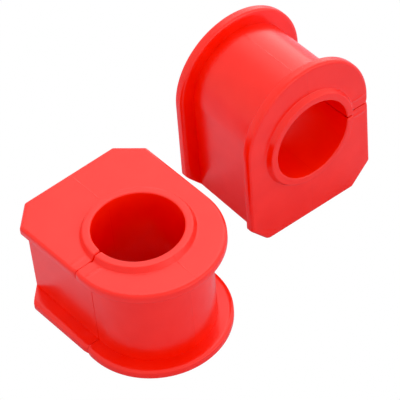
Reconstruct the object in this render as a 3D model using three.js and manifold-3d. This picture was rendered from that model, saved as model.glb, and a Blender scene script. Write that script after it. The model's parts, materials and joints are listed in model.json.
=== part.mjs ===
// A pair of split, flanged polyurethane bushings for a vehicle's stabiliser bar, one lying on its end and
// one standing on its flat base. Millimetres, +Z up.
//
// A bushing is designed in its own frame: x across it, y from the flat base up to the round crown, and z
// along the bore, with the origin at the middle of the bore. The slit is on the +x side, in the plane
// y = 0, and the wall on the -x side is the living hinge that the bushing is opened about.
import * as THREE from 'three';
import { mergeVertices } from 'three/addons/utils/BufferGeometryUtils.js';
import Module from 'manifold-3d';

const wasm = await Module();
wasm.setup();

// Bore and the raised ring around each of its mouths
const BORE_RADIUS = 16;
const MOUTH_ROUND = 0.5;
const RING_HEIGHT = 2;
const RING_TOP_RADIUS = 19;
const RING_FOOT_RADIUS = 19.7;
const RING_ROUND = 0.5;

// Outline, seen along the bore. The flanges' sides lean in a little from the base up to the crown, which
// is round and as wide as FLANGE_HALF_WIDTH; the body's sides are upright.
const FLANGE_HALF_WIDTH = 27.6;
const FLANGE_DRAFT_DEG = 0.8;
const BODY_HALF_WIDTH = 22.1;
const BASE_DROP = 38;
const CROWN_RISE = 3.6;
const CORNER_CHAMFER = 8.7;
const PLAN_ROUND = 1.2;

// Lengths along the bore
const FLANGE_SPAN = 42.1;
const FLANGE_THICKNESS = 4;
const FACE_ROUND = 1.3;
const BACK_ROUND = 1.2;
const NECK_ROUND = 0.5;

// The slit, and the same gap through the hinge wall, which lets the two halves turn apart
const SLIT_GAP = 0.3;

// Where the bushings lie: their bore centres from each other in plan, and the lying one's yaw
const STANDING_OFFSET_X = 76.1;
const STANDING_OFFSET_Y = 21.9;
const LYING_YAW_DEG = 2.5;

// Facets
const CROWN_STEPS = 36;
const CORNER_STEPS = 2;
const ROUND_STEPS = 3;
const BORE_STEPS = 72;

const HALF_SPAN = FLANGE_SPAN / 2;
const HALF_LENGTH = HALF_SPAN + RING_HEIGHT;
const BODY_INSET = FLANGE_HALF_WIDTH - BODY_HALF_WIDTH;
const FLANGE_BASE_HALF_WIDTH = FLANGE_HALF_WIDTH
  + (BASE_DROP + CROWN_RISE) * Math.tan(THREE.MathUtils.degToRad(FLANGE_DRAFT_DEG));
const CUT_REACH = 100;

const polyurethane = {
  color: new THREE.Color(0.86, 0.07, 0.06),
  roughness: 0.42,
  metalness: 0,
};

// Points of an arc in a plane, both ends included
function arc(cx, cy, radius, fromDeg, toDeg, steps) {
  return Array.from({ length: steps + 1 }, (_, i) => {
    const a = THREE.MathUtils.degToRad(fromDeg + ((toDeg - fromDeg) * i) / steps);
    return new THREE.Vector2(cx + radius * Math.cos(a), cy + radius * Math.sin(a));
  });
}

// The outline of a slice, counter-clockwise. sideInset draws in the sides and crown only, as the neck
// does between the flanges; edgeInset draws in every edge, as a rounded rim does. The chamfers stay in
// the same two planes for flange and body.
function outline(sideInset, edgeInset) {
  const radius = FLANGE_HALF_WIDTH - sideInset - edgeInset;
  const draftDeg = FLANGE_DRAFT_DEG * (1 - sideInset / BODY_INSET);
  const draft = THREE.MathUtils.degToRad(draftDeg);
  const round = Math.max(PLAN_ROUND - edgeInset, 0.1);

  // centres of the corner rounds, both on a line parallel to the chamfer
  const chamferLine = FLANGE_BASE_HALF_WIDTH - CORNER_CHAMFER + BASE_DROP - (edgeInset + round) * Math.SQRT2;
  const lowY = -BASE_DROP + edgeInset + round;
  const lean = CROWN_RISE * Math.sin(draft);
  const sideY = (radius - round + lean - chamferLine * Math.cos(draft)) / (Math.cos(draft) + Math.sin(draft));
  const right = [
    ...arc(chamferLine + lowY, lowY, round, -90, -45, CORNER_STEPS),
    ...arc(chamferLine + sideY, sideY, round, -45, draftDeg, CORNER_STEPS),
  ];
  const crown = arc(0, CROWN_RISE, radius, draftDeg, 180 - draftDeg, CROWN_STEPS);
  const left = right.map((p) => new THREE.Vector2(-p.x, p.y)).reverse();
  return [...right, ...crown, ...left];
}

// Slices from the middle of the bushing to its end face: [z, sideInset, edgeInset]
function halfSlices() {
  const inner = HALF_SPAN - FLANGE_THICKNESS;
  const neck = arc(BODY_INSET - NECK_ROUND, inner - NECK_ROUND, NECK_ROUND, 0, 90, ROUND_STEPS)
    .map((p) => [p.y, p.x, 0]);
  const backEdge = arc(BACK_ROUND, inner + BACK_ROUND, BACK_ROUND, -90, -180, ROUND_STEPS)
    .map((p) => [p.y, p.x, 0]);
  const faceEdge = arc(FACE_ROUND, HALF_SPAN - FACE_ROUND, FACE_ROUND, 180, 90, ROUND_STEPS)
    .map((p) => [p.y, 0, p.x]);
  return [...neck, ...backEdge, ...faceEdge];
}

// A closed solid through slices that all have the same number of points
function loft(slices) {
  const rings = slices.map(([z, side, edge]) => outline(side, edge).map((p) => [p.x, p.y, z]));
  const count = rings[0].length;
  const positions = rings.flat(2);
  const index = [];
  for (let r = 0; r + 1 < rings.length; r += 1) {
    for (let i = 0; i < count; i += 1) {
      const a = r * count + i;
      const b = r * count + ((i + 1) % count);
      index.push(a, b, b + count, a, b + count, a + count);
    }
  }
  const caps = THREE.ShapeUtils.triangulateShape(outline(slices[0][1], slices[0][2]), []);
  const last = (rings.length - 1) * count;
  for (const [a, b, c] of caps) {
    index.push(a, c, b);
    index.push(last + a, last + b, last + c);
  }
  const geometry = new THREE.BufferGeometry();
  geometry.setAttribute('position', new THREE.Float32BufferAttribute(positions, 3));
  geometry.setIndex(index);
  return geometry;
}

function toManifold(source) {
  const bare = source.clone();
  bare.deleteAttribute('normal');
  bare.deleteAttribute('uv');
  const geometry = mergeVertices(bare, 1e-5);
  return new wasm.Manifold(new wasm.Mesh({
    numProp: 3,
    vertProperties: new Float32Array(geometry.attributes.position.array),
    triVerts: new Uint32Array(geometry.index.array),
  }));
}

function toGeometry(solid) {
  const mesh = solid.getMesh();
  const geometry = new THREE.BufferGeometry();
  geometry.setAttribute('position', new THREE.BufferAttribute(new Float32Array(mesh.vertProperties), 3));
  geometry.setIndex(new THREE.BufferAttribute(new Uint32Array(mesh.triVerts), 1));
  geometry.computeVertexNormals();
  return geometry;
}

// A solid of revolution about the bore axis
function turned(profile) {
  return toManifold(new THREE.LatheGeometry(profile, BORE_STEPS).rotateX(Math.PI / 2));
}

// The raised rings, as one slug from end to end that the bore is later cut through
function ringSlug() {
  const top = arc(RING_TOP_RADIUS - RING_ROUND, HALF_LENGTH - RING_ROUND, RING_ROUND, 90, 20, ROUND_STEPS);
  const foot = new THREE.Vector2(RING_FOOT_RADIUS, HALF_SPAN);
  const end = [foot, ...top.reverse(), new THREE.Vector2(0, HALF_LENGTH)];
  const other = end.map((p) => new THREE.Vector2(p.x, -p.y)).reverse();
  return turned([...other, ...end]);
}

// What the bore removes, with a small round at each mouth
function boreCutter() {
  const mouth = arc(
    BORE_RADIUS + MOUTH_ROUND, HALF_LENGTH - MOUTH_ROUND, MOUTH_ROUND, 180, 90, ROUND_STEPS,
  );
  const flare = new THREE.Vector2(BORE_RADIUS + MOUTH_ROUND, HALF_LENGTH + 1);
  const end = [...mouth, flare, new THREE.Vector2(0, HALF_LENGTH + 1)];
  const other = end.map((p) => new THREE.Vector2(p.x, -p.y)).reverse();
  return turned([...other, ...end]);
}

// Everything on one side of the slit plane: side is 1 for the crown, -1 for the base
function sideBlock(side) {
  const block = new THREE.BoxGeometry(CUT_REACH, CUT_REACH, CUT_REACH);
  block.translate(0, side * (CUT_REACH / 2 + SLIT_GAP / 2), 0);
  return toManifold(block);
}

function bushingSolid() {
  const end = halfSlices();
  const start = end.map(([z, side, edge]) => [-z, side, edge]).reverse();
  return toManifold(loft([...start, ...end])).add(ringSlug()).subtract(boreCutter());
}

const whole = bushingSolid();
const baseHalf = toGeometry(whole.intersect(sideBlock(-1)));
const crownHalf = toGeometry(whole.intersect(sideBlock(1)));

// One bushing, as the two halves that its hinge wall joins
function bushing(name) {
  const group = new THREE.Group();
  for (const [half, geometry] of [['base_half', baseHalf], ['crown_half', crownHalf]]) {
    const mesh = new THREE.Mesh(geometry.clone(), new THREE.MeshStandardMaterial(polyurethane));
    mesh.name = `${name}_${half}`;
    group.add(mesh);
  }
  return group;
}

// Lying on its end, with the crown towards -Y and the slit towards -X
const lying = bushing('lying_bushing');
lying.rotation.z = Math.PI + THREE.MathUtils.degToRad(LYING_YAW_DEG);
lying.position.set(0, 0, HALF_LENGTH);

// Standing on its flat base, with the bore along Y and the slit towards +X
const standing = bushing('standing_bushing');
standing.rotation.x = Math.PI / 2;
standing.position.set(STANDING_OFFSET_X, STANDING_OFFSET_Y, BASE_DROP);

// The origin is under the middle of the pair
const pair = new THREE.Group();
pair.add(lying, standing);
pair.updateMatrixWorld(true);
const box = new THREE.Box3().setFromObject(pair, true);
const centre = box.getCenter(new THREE.Vector3());
pair.position.set(-centre.x, -centre.y, 0);
pair.updateMatrixWorld(true);

export default pair;
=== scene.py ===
import json
import math

import bmesh
import bpy
import numpy as np
from mathutils import Matrix, Vector


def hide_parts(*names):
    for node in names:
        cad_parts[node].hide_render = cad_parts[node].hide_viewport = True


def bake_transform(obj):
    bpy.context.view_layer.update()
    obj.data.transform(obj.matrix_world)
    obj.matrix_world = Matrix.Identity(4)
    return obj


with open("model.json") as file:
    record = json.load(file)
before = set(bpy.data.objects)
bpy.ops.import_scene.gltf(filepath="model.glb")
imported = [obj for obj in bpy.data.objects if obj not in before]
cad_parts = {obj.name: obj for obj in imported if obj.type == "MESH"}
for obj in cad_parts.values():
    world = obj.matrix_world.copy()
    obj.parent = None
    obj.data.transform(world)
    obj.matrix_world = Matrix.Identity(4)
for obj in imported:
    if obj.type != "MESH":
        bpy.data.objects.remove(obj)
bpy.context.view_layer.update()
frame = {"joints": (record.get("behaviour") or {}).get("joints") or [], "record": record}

MM = 0.001

# Bore and the raised ring around each of its mouths. The ring's side leans in: it faces this many degrees
# above straight outwards.
BORE_RADIUS = 16.0
MOUTH_ROUND = 0.5
RING_TOP_RADIUS = 19.0
RING_FOOT_RADIUS = 19.7
RING_ROUND = 0.5
RING_FOOT_FILLET = 0.5
RING_SIDE_FACING = 20

# Outline, seen along the bore
FLANGE_HALF_WIDTH = 27.6
FLANGE_DRAFT = math.radians(0.8)
BODY_HALF_WIDTH = 22.1
BASE_DROP = 38.0
CROWN_RISE = 3.6
BASE_HALF_WIDTH = FLANGE_HALF_WIDTH + (BASE_DROP + CROWN_RISE) * math.tan(FLANGE_DRAFT)
BODY_INSET = FLANGE_HALF_WIDTH - BODY_HALF_WIDTH

# A chamfered base corner: how far the chamfer reaches along the base and up the side, and how round it is
# where it meets each. The standing bushing's corner on the hinge side came out of the mould fuller.
PLAIN_CORNER = {"along_base": 8.7, "up_side": 8.6, "low_round": 1.2, "side_round": 1.2}
FULL_CORNER = {"along_base": 7.3, "up_side": 8.6, "low_round": 3.0, "side_round": 1.2}
LEAST_CORNER_ROUND = 0.1

# Lengths along the bore
HALF_SPAN = 21.05
HALF_LENGTH = 23.05
FLANGE_THICKNESS = 4.0

# The flanges' edges are rounded as quarter ellipses: how far each reaches in from the rim, and along w
FACE_ROUND_IN = 1.3
FACE_ROUND_ALONG = 1.3
BACK_ROUND_IN = 1.8
BACK_ROUND_ALONG = 1.1

# The slit's gap, and how round its lips are where they cross each surface
LYING_SLIT_GAP = 0.16
STANDING_SLIT_GAP = 0.5
LIP_ROUND_RING = 0.8
LIP_ROUND_FACE = 0.15
LIP_ROUND_RIM = 0.35
LIP_ROUND_BODY = 0.1

# How far the flanges' rims dip towards the slit, within what distance of it, and how late the end face
# starts to follow them
RIM_DIP = 0.45
RIM_DIP_REACH = 2.5
FACE_DIP_POWER = 4

# The two faint ridges beside the slit that the mould leaves on the end faces, and how fast they rise from
# the ring's foot and fall towards the rim
RIDGE_HEIGHT = 0.2
RIDGE_WIDTH = 0.5
RIDGES_AT = (4.4, -3.3)
RIDGE_FADE_IN = 5
RIDGE_FADE_OUT = 4

# The stretch beside the slit where the grid runs parallel to it
SLIT_ZONE = 6.0

# The corner between flange and body is steeper than this, and is left crisp
SHARP_ANGLE = math.radians(50)

# Points closer than this are one point
MERGE_BELOW = 0.0001

# Grid steps round the outline
CROWN_STEPS = 110
SIDE_STEPS = 24
CORNER_STEPS = 8
CHAMFER_STEPS = 6
BASE_STEPS = 16
LIP_STEPS = 8
SLIT_STEPS = 24

# Grid steps along the profile
BORE_STEPS = 4
RING_ROUND_STEPS = 5
RING_TOP_STEPS = 3
RING_FOOT_STEPS = 6
FACE_STEPS = 12
EDGE_STEPS = 10
FLANGE_BACK_STEPS = 7
BODY_STEPS = 8


# ---------------------------------------------------------------- the bushing's mesh

def arc(cx, cy, radius, start, stop, steps):
    """Points of an arc, both ends included; angles in degrees."""
    a = np.radians(np.linspace(start, stop, steps + 1))
    return np.stack([cx + radius * np.cos(a), cy + radius * np.sin(a)], 1)


def quarter_ellipse(cx, cy, across, along, start):
    """A quarter of an ellipse, counter-clockwise from an angle in degrees."""
    unit = arc(0, 0, 1, start, start + 90, EDGE_STEPS)
    return unit * (across, along) + (cx, cy)


def line(a, b, steps):
    """Points between a and b, neither included."""
    t = np.linspace(0, 1, steps + 1)[1:-1, None]
    return np.asarray(a) * (1 - t) + np.asarray(b) * t


def side_u(radius, draft, v):
    """How far out a side is at height v, on its leaning line or on the crown that the line runs into."""
    lean = (radius - (v - CROWN_RISE) * math.sin(draft)) / math.cos(draft)
    crown = np.sqrt(np.maximum(radius**2 - (v - CROWN_RISE) ** 2, 0))
    return np.where(v < CROWN_RISE + radius * math.sin(draft), lean, crown)


def chamfer_edge(corner):
    """The chamfer as an edge: the direction it faces, in degrees, and its distance from the bore's axis."""
    along, up = corner["along_base"], corner["up_side"]
    length = math.hypot(along, up)
    distance = (up * (BASE_HALF_WIDTH - along) + along * BASE_DROP) / length
    return math.degrees(math.atan2(-along, up)), distance


def rounded(edge_a, edge_b, radius):
    """The arc between two edges, each given as (direction it faces, distance)."""
    (facing_a, reach_a), (facing_b, reach_b) = edge_a, edge_b
    a, b = math.radians(facing_a), math.radians(facing_b)
    normals = [[math.cos(a), math.sin(a)], [math.cos(b), math.sin(b)]]
    centre = np.linalg.solve(normals, [reach_a - radius, reach_b - radius])
    return arc(*centre, radius, facing_a, facing_b, CORNER_STEPS)


def base_corner(corner, side, edge_inset):
    """The two arcs of a base corner on the +u side, from the base up, joined by the chamfer."""
    base = (-90, BASE_DROP - edge_inset)
    facing, distance = chamfer_edge(corner)
    chamfer = (facing, distance - edge_inset)
    low = rounded(base, chamfer, max(corner["low_round"] - edge_inset, LEAST_CORNER_ROUND))
    high = rounded(chamfer, side, max(corner["side_round"] - edge_inset, LEAST_CORNER_ROUND))
    return np.concatenate([low, line(low[-1], high[0], CHAMFER_STEPS), high])


def outline(side_inset, edge_inset, corners):
    """The outline outside the slit zone, from its top on the slit side over the crown, hinge side and base
    to its bottom. side_inset draws in the sides and crown only, as the body does between the flanges;
    edge_inset draws in every edge, as a rounded rim does. corners are the ones on the slit side and on
    the hinge side."""
    radius = FLANGE_HALF_WIDTH - side_inset - edge_inset
    draft = FLANGE_DRAFT * (1 - side_inset / BODY_INSET)
    lean = math.degrees(draft)
    side = (lean, radius + CROWN_RISE * math.sin(draft))
    slit_corner = base_corner(corners[0], side, edge_inset)
    hinge_corner = (base_corner(corners[1], side, edge_inset) * (-1, 1))[::-1]
    crown_start = math.degrees(math.asin((SLIT_ZONE - CROWN_RISE) / radius))
    crown = arc(0, CROWN_RISE, radius, crown_start, 180 - lean, CROWN_STEPS)
    slit_end = np.array([side_u(radius, draft, np.array(-SLIT_ZONE)), -SLIT_ZONE])
    return np.concatenate([
        crown,
        line(crown[-1], hinge_corner[0], 2 * SIDE_STEPS),
        hinge_corner,
        line(hinge_corner[-1], slit_corner[0], BASE_STEPS),
        slit_corner,
        line(slit_corner[-1], slit_end, SIDE_STEPS),
        slit_end[None],
    ])


def slit_columns(gap):
    """Heights of the grid lines beside the slit, from a lip outwards, close together at the lip's round."""
    lip = gap / 2 + LIP_ROUND_RING * (1 - np.cos(np.linspace(0, np.pi / 2, LIP_STEPS + 1)))
    rest = np.linspace(lip[-1], SLIT_ZONE, SLIT_STEPS + 1)
    return np.concatenate([lip, rest[1:-1]])


class Station:
    """One point of the profile. It lies a share of the way from a circle round the bore to an outline."""

    def __init__(
        self, w, circle=BORE_RADIUS, side=0.0, edge=0.0, share=0.0, lip=LIP_ROUND_FACE, dip=0.0, ridge=0.0,
    ):
        self.w = w
        self.circle = circle
        self.side = side
        self.edge = edge
        self.share = share
        self.lip = lip
        self.dip = dip
        self.ridge = ridge

    def reach(self):
        """How far from the bore's axis it is at the slit."""
        rim = FLANGE_HALF_WIDTH - self.side - self.edge
        return (1 - self.share) * self.circle + self.share * rim

    def mirrored(self):
        """The same point at the bushing's other end."""
        return Station(
            -self.w, self.circle, self.side, self.edge, self.share, self.lip, self.dip, self.ridge,
        )


def ring_points():
    """The mouth of the bore and the raised ring, from the bore to the end face, as (radius, w)."""
    mouth = arc(
        BORE_RADIUS + MOUTH_ROUND, HALF_LENGTH - MOUTH_ROUND, MOUTH_ROUND, 180, 90, RING_ROUND_STEPS,
    )
    top = arc(
        RING_TOP_RADIUS - RING_ROUND, HALF_LENGTH - RING_ROUND, RING_ROUND,
        90, RING_SIDE_FACING, RING_ROUND_STEPS,
    )
    foot = arc(
        RING_FOOT_RADIUS + RING_FOOT_FILLET, HALF_SPAN + RING_FOOT_FILLET, RING_FOOT_FILLET,
        180 + RING_SIDE_FACING, 270, RING_FOOT_STEPS,
    )
    return np.concatenate([mouth, line(mouth[-1], top[0], RING_TOP_STEPS), top, foot])


def half_profile():
    """The stations from the middle of the bore over one end to the middle of the body."""
    bore = np.linspace(0, HALF_LENGTH - MOUTH_ROUND, BORE_STEPS + 1)[1:-1]
    stations = [Station(w) for w in bore]
    ring = ring_points()
    for r, w in ring:
        stations.append(Station(w, circle=r, lip=LIP_ROUND_RING))

    foot_radius = ring[-1][0]
    for t in np.linspace(0, 1, FACE_STEPS + 1)[1:-1]:
        ridge = min(1, RIDGE_FADE_IN * t, RIDGE_FADE_OUT * (1 - t))
        stations.append(Station(
            HALF_SPAN, circle=foot_radius, edge=FACE_ROUND_IN, share=t, dip=t**FACE_DIP_POWER, ridge=ridge,
        ))

    inner = HALF_SPAN - FLANGE_THICKNESS
    face_edge = quarter_ellipse(
        FACE_ROUND_IN, HALF_SPAN - FACE_ROUND_ALONG, FACE_ROUND_IN, FACE_ROUND_ALONG, 90,
    )
    for edge, w in face_edge:
        stations.append(Station(w, edge=edge, share=1, lip=LIP_ROUND_RIM, dip=1))
    back_edge = quarter_ellipse(
        BACK_ROUND_IN, inner + BACK_ROUND_ALONG, BACK_ROUND_IN, BACK_ROUND_ALONG, 180,
    )
    for side, w in back_edge:
        stations.append(Station(w, side=side, share=1, lip=LIP_ROUND_RIM, dip=1))
    for side in np.linspace(BACK_ROUND_IN, BODY_INSET, FLANGE_BACK_STEPS + 1)[1:]:
        stations.append(Station(inner, side=side, share=1))
    for w in np.linspace(inner, 0, BODY_STEPS + 1)[1:-1]:
        stations.append(Station(w, side=BODY_INSET, share=1, lip=LIP_ROUND_BODY))
    return stations


def whole_profile():
    """The closed profile, clockwise when the bore's axis is on the left and w points up."""
    half = half_profile()
    return half + [s.mirrored() for s in reversed(half)]


def profile_normals(stations):
    """Outward normals of the profile, as (away from the axis, along w)."""
    points = np.array([(s.reach(), s.w) for s in stations])
    tangent = np.roll(points, -1, 0) - np.roll(points, 1, 0)
    tangent /= np.linalg.norm(tangent, axis=1)[:, None]
    return np.stack([-tangent[:, 1], tangent[:, 0]], 1)


def lip_drop(distance, radius):
    """How far a surface has dropped at a distance from the slit's face, over a lip of that radius."""
    x = np.clip(1 - distance / radius, 0, 1)
    return radius * (1 - np.sqrt(1 - x**2))


def slit_points(station, normal, heights, gap):
    """A station's points in the slit zone, at these signed heights v."""
    away = np.abs(heights)
    inset = lip_drop(away - gap / 2, station.lip)
    dip = station.dip * RIM_DIP * np.clip(1 - away / RIM_DIP_REACH, 0, 1) ** 2
    circle = np.sqrt((station.circle - inset * normal[0] * (station.share == 0)) ** 2 - heights**2)
    draft = FLANGE_DRAFT * (1 - station.side / BODY_INSET)
    radius = FLANGE_HALF_WIDTH - station.side - station.edge
    outer = side_u(radius, draft, heights) - dip - inset * normal[0] * (station.share == 1)
    u = (1 - station.share) * circle + station.share * outer
    ridges = sum(np.exp(-(((heights - at) / RIDGE_WIDTH) ** 2)) for at in RIDGES_AT)
    rise = station.ridge * RIDGE_HEIGHT * ridges - inset * abs(normal[1])
    return np.stack([u, heights, station.w + rise * np.sign(station.w)], 1)


def bushing_grid(corners, gap):
    """All points as [station, column, (u, v, w)]."""
    stations = whole_profile()
    normals = profile_normals(stations)
    away = slit_columns(gap)
    flange = outline(0, 0, corners)
    turn = np.unwrap(np.arctan2(flange[:, 1], flange[:, 0]))
    progress = (turn - turn[0]) / (turn[-1] - turn[0])
    rows = []
    for station, normal in zip(stations, normals):
        first = math.asin(SLIT_ZONE / station.circle)
        angle = first + progress * (2 * math.pi - 2 * first)
        circle = station.circle * np.stack([np.cos(angle), np.sin(angle)], 1)
        plan = (1 - station.share) * circle + station.share * outline(station.side, station.edge, corners)
        far = np.column_stack([plan, np.full(len(plan), station.w)])
        upper = slit_points(station, normal, away, gap)
        lower = slit_points(station, normal, -away[::-1], gap)
        rows.append(np.concatenate([upper, far, lower]))
    return np.array(rows)


def bushing_mesh(name, corners, gap):
    """The closed mesh in the bushing's own frame, in millimetres."""
    grid = bushing_grid(corners, gap)
    rows, columns = grid.shape[:2]
    at = np.arange(rows * columns).reshape(rows, columns)
    below, above = at, np.roll(at, -1, 0)
    quads = np.stack([below[:, :-1], above[:, :-1], above[:, 1:], below[:, 1:]], -1).reshape(-1, 4)
    faces = [tuple(q) for q in quads.tolist()]
    faces.append(tuple(at[::-1, 0].tolist()))
    faces.append(tuple(at[:, -1].tolist()))
    mesh = bpy.data.meshes.new(name)
    mesh.from_pydata(grid.reshape(-1, 3).tolist(), [], faces)
    mesh.polygons.foreach_set("use_smooth", [True] * (len(faces) - 2) + [False] * 2)

    # the flanges' backs have no width where flange and body share the flat base
    clean = bmesh.new()
    clean.from_mesh(mesh)
    bmesh.ops.remove_doubles(clean, verts=clean.verts, dist=MERGE_BELOW)
    clean.to_mesh(mesh)
    clean.free()
    mesh.set_sharp_from_angle(angle=SHARP_ANGLE)
    mesh.update()
    return mesh


# ---------------------------------------------------------------- placing

def local_frame(bore, hinge):
    """Origin and the u, v, w axes of a bushing in the row frame, from the record's opening and hinge."""
    record = frame["record"]
    opening = next(o for o in record["physics"]["openings"] if o["name"] == bore)
    joint = next(j for j in frame["joints"] if j["name"] == hinge)
    low, high = (Vector(p) for p in opening["box_m"])
    origin = (low + high) / 2
    w = Vector(joint["axis"]).normalized()
    u = origin - Vector(joint["pos_m"])
    u = (u - w * u.dot(w)).normalized()
    return origin, u, w.cross(u), w


def make_bushing(name, bore, hinge, corners, gap, material):
    """A bushing in its place, as one piece; the CAD's two halves of it are hidden."""
    mesh = bushing_mesh(name, corners, gap)
    local = np.array([p.co for p in mesh.vertices], float)
    rest = mesh.attributes.new("mould", "FLOAT_VECTOR", "POINT")
    rest.data.foreach_set("vector", local.astype(np.float32).ravel())

    origin, u, v, w = local_frame(bore, hinge)
    turn = Matrix((u, v, w)).transposed().to_4x4()
    mesh.transform(Matrix.Translation(origin) @ turn @ Matrix.Scale(MM, 4))
    mesh.materials.append(material)
    obj = bpy.data.objects.new(name, mesh)
    bpy.context.scene.collection.objects.link(obj)

    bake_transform(obj)
    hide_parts(f"{name}_base_half", f"{name}_crown_half")
    return obj


# ---------------------------------------------------------------- materials

# Colour and gloss drift together in soft clouds. Noise scales are per millimetre of the mould.
DEEPER_RED = (0.92, 0.011, 0.003, 1)
LIGHTER_RED = (0.97, 0.015, 0.005, 1)
TINT_FROM = 0.3
TINT_TO = 0.7
SMOOTHEST = 0.215
ROUGHEST = 0.265
REFRACTIVE_INDEX = 1.47
CLOUD_SCALE = 0.09
GRAIN_SCALE = 1.6
FLOW_STRETCH = (0.55, 0.55, 0.04)

# Relief that is too fine for the mesh: flow lines, grain and the parting line
FLOW_RELIEF = {"Strength": 0.08, "Distance": 0.0001}
GRAIN_RELIEF = {"Strength": 0.08, "Distance": 0.00006}
PARTING_RELIEF = {"Strength": 0.6, "Distance": 0.0001}
PARTING_HALF_WIDTH = 0.16


def node(tree, kind, links=None, **settings):
    """A new node with its settings; links maps its input names to sockets or values."""
    made = tree.nodes.new(kind)
    for key, value in settings.items():
        setattr(made, key, value)
    for key, value in (links or {}).items():
        if isinstance(value, bpy.types.NodeSocket):
            tree.links.new(value, made.inputs[key])
        else:
            made.inputs[key].default_value = value
    return made


def parting_line(tree, place):
    """The mould's parting line, a hair-fine ridge in the plane u = 0: 1 on the line, 0 beside it."""
    across = node(tree, "ShaderNodeSeparateXYZ", {0: place}).outputs["X"]
    off_line = node(tree, "ShaderNodeMath", {0: across}, operation="ABSOLUTE").outputs[0]
    return node(tree, "ShaderNodeMapRange", {
        "Value": off_line, "From Min": 0.0, "From Max": PARTING_HALF_WIDTH, "To Min": 1.0, "To Max": 0.0,
    }).outputs[0]


def polyurethane():
    """Glossy red cast polyurethane, with a faint grain, flow lines along the bore and uneven gloss."""
    material = bpy.data.materials.new("red_polyurethane")
    material.use_nodes = True
    tree = material.node_tree
    tree.nodes.clear()
    place = node(tree, "ShaderNodeAttribute", attribute_name="mould").outputs["Vector"]
    clouds = node(tree, "ShaderNodeTexNoise", {"Vector": place, "Scale": CLOUD_SCALE, "Detail": 3.0})
    grain = node(tree, "ShaderNodeTexNoise", {"Vector": place, "Scale": GRAIN_SCALE, "Detail": 4.0})
    stretched = node(tree, "ShaderNodeMapping", {"Vector": place, "Scale": FLOW_STRETCH})
    flow = node(tree, "ShaderNodeTexNoise", {"Vector": stretched.outputs[0], "Scale": 1.0, "Detail": 3.0})
    parting = parting_line(tree, place)

    tint = node(tree, "ShaderNodeValToRGB", {"Fac": clouds.outputs["Fac"]})
    deeper, lighter = tint.color_ramp.elements
    deeper.position, lighter.position = TINT_FROM, TINT_TO
    deeper.color = DEEPER_RED
    lighter.color = LIGHTER_RED
    gloss = node(tree, "ShaderNodeMapRange", {
        "Value": clouds.outputs["Fac"], "To Min": SMOOTHEST, "To Max": ROUGHEST,
    })
    flow_bump = node(tree, "ShaderNodeBump", {"Height": flow.outputs["Fac"], **FLOW_RELIEF})
    grain_bump = node(tree, "ShaderNodeBump", {
        "Height": grain.outputs["Fac"], "Normal": flow_bump.outputs[0], **GRAIN_RELIEF,
    })
    parting_bump = node(tree, "ShaderNodeBump", {
        "Height": parting, "Normal": grain_bump.outputs[0], **PARTING_RELIEF,
    })
    shader = node(tree, "ShaderNodeBsdfPrincipled", {
        "Base Color": tint.outputs["Color"],
        "Roughness": gloss.outputs[0],
        "Normal": parting_bump.outputs[0],
        "IOR": REFRACTIVE_INDEX,
    })
    node(tree, "ShaderNodeOutputMaterial", {"Surface": shader.outputs[0]})
    return material


# ---------------------------------------------------------------- studio

TABLE_SIZE = 6.0
TABLE_COLOUR = (0.58, 0.58, 0.68)
ROOM_FLOOR = -0.001
ROOM_COLOUR = (0.0, 0.0, 0.0)
ROOM_GLOW = 1.0
MATT = 0.9

CAMERA_AT = Vector((-0.284712, -0.408175, 0.526177))
CAMERA_TARGET = Vector((0.011785, 0.026854, 0.0))
CAMERA_ROLL = math.radians(-5.602)
CAMERA_LENS = 180.57
CAMERA_SENSOR = 36
CAMERA_NEAR = 0.01
CAMERA_FAR = 20

# A white light tent, even all round, with softboxes behind its walls. Each is (azimuth, clockwise from
# +Y as seen from above; elevation; strength; focus): two wide ones at the right, high and half high, a
# small one high behind, and three wide, low ones from the right round to the front.
TENT_GLOW = 1.18
SOFTBOXES = (
    (60, 62, 1.3, 14),
    (60, 34, 1.25, 14),
    (36, 60, 0.8, 50),
    (55, 4, 1.5, 14),
    (135, 8, 1.0, 14),
    (165, 8, 1.0, 14),
)
BLACK_LEVEL = 0.004


def flat_white(name, colour, glow):
    """A matt material that also gives off some white light of its own."""
    material = bpy.data.materials.new(name)
    material.use_nodes = True
    shader = material.node_tree.nodes["Principled BSDF"]
    shader.inputs["Base Color"].default_value = (*colour, 1)
    shader.inputs["Roughness"].default_value = MATT
    shader.inputs["Specular IOR Level"].default_value = 0.0
    shader.inputs["Emission Color"].default_value = (1, 1, 1, 1)
    shader.inputs["Emission Strength"].default_value = glow
    return material


def studio_piece(name, corners, faces, material):
    """A piece of the studio, which isn't part of the object."""
    mesh = bpy.data.meshes.new(name)
    mesh.from_pydata(corners, [], faces)
    mesh.materials.append(material)
    obj = bpy.data.objects.new(name, mesh)
    bpy.context.scene.collection.objects.link(obj)
    return obj


def studio():
    """A pale table that lights the object from below, and an evenly lit white room, a hair lower, that the
    camera sees in its place."""
    half = TABLE_SIZE / 2
    square = [(-half, -half), (half, -half), (half, half), (-half, half)]
    table_top = [(x, y, 0) for x, y in square]
    table = studio_piece("table", table_top, [(0, 1, 2, 3)], flat_white("table_white", TABLE_COLOUR, 0.0))
    table.visible_camera = False
    room_corners = [(x, y, z) for z in (ROOM_FLOOR, TABLE_SIZE) for x, y in square]
    room_walls = [(0, 1, 2, 3), (7, 6, 5, 4), (1, 0, 4, 5), (2, 1, 5, 6), (3, 2, 6, 7), (0, 3, 7, 4)]
    room_white = flat_white("backdrop_white", ROOM_COLOUR, ROOM_GLOW)
    room = studio_piece("backdrop", room_corners, room_walls, room_white)
    for ray in ("diffuse", "glossy", "transmission", "shadow"):
        setattr(room, f"visible_{ray}", False)


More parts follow.
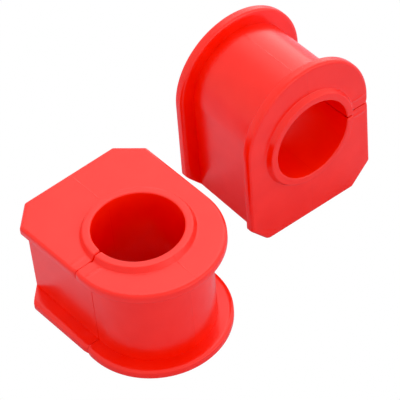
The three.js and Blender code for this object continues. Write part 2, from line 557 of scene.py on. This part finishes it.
def camera():
    """The camera at the photograph's viewing angle."""
    data = bpy.data.cameras.new("camera")
    data.lens = CAMERA_LENS
    data.sensor_width = CAMERA_SENSOR
    data.clip_start = CAMERA_NEAR
    data.clip_end = CAMERA_FAR
    obj = bpy.data.objects.new("camera", data)
    bpy.context.scene.collection.objects.link(obj)
    look = (CAMERA_TARGET - CAMERA_AT).to_track_quat("-Z", "Y").to_matrix().to_4x4()
    roll = Matrix.Rotation(CAMERA_ROLL, 4, "Z")
    obj.matrix_world = Matrix.Translation(CAMERA_AT) @ look @ roll
    bpy.context.scene.camera = obj


def light_tent():
    """The light all round, as the world: an even glow and a smooth bright patch for each softbox."""
    world = bpy.data.worlds.new("light_tent")
    world.use_nodes = True
    tree = world.node_tree
    tree.nodes.clear()
    direction = node(tree, "ShaderNodeTexCoord").outputs["Generated"]
    light = TENT_GLOW
    for azimuth, elevation, strength, focus in SOFTBOXES:
        a, e = math.radians(azimuth), math.radians(elevation)
        centre = (math.sin(a) * math.cos(e), math.cos(a) * math.cos(e), math.sin(e))
        facing = node(tree, "ShaderNodeVectorMath", {0: direction, 1: centre}, operation="DOT_PRODUCT")
        away = node(tree, "ShaderNodeMath", {0: facing.outputs["Value"], 1: 1.0}, operation="SUBTRACT")
        fade = node(tree, "ShaderNodeMath", {0: away.outputs[0], 1: focus}, operation="MULTIPLY")
        patch = node(tree, "ShaderNodeMath", {0: fade.outputs[0]}, operation="EXPONENT")
        added = {0: patch.outputs[0], 1: strength, 2: light}
        light = node(tree, "ShaderNodeMath", added, operation="MULTIPLY_ADD").outputs[0]
    background = node(tree, "ShaderNodeBackground", {"Strength": light})
    node(tree, "ShaderNodeOutputWorld", {"Surface": background.outputs[0]})
    bpy.context.scene.world = world


def settle_view():
    """The plain view transform, with its black point lifted a little to deepen the darkest reds."""
    view = bpy.context.scene.view_settings
    view.view_transform = "Standard"
    view.look = "None"
    view.use_curve_mapping = True
    view.curve_mapping.black_level = (BLACK_LEVEL, BLACK_LEVEL, BLACK_LEVEL)


red = polyurethane()
make_bushing(
    "lying_bushing", "lying_bar_bore", "lying_bushing_opens",
    (PLAIN_CORNER, PLAIN_CORNER), LYING_SLIT_GAP, red,
)
make_bushing(
    "standing_bushing", "standing_bar_bore", "standing_bushing_opens",
    (PLAIN_CORNER, FULL_CORNER), STANDING_SLIT_GAP, red,
)
studio()
light_tent()
camera()
settle_view()
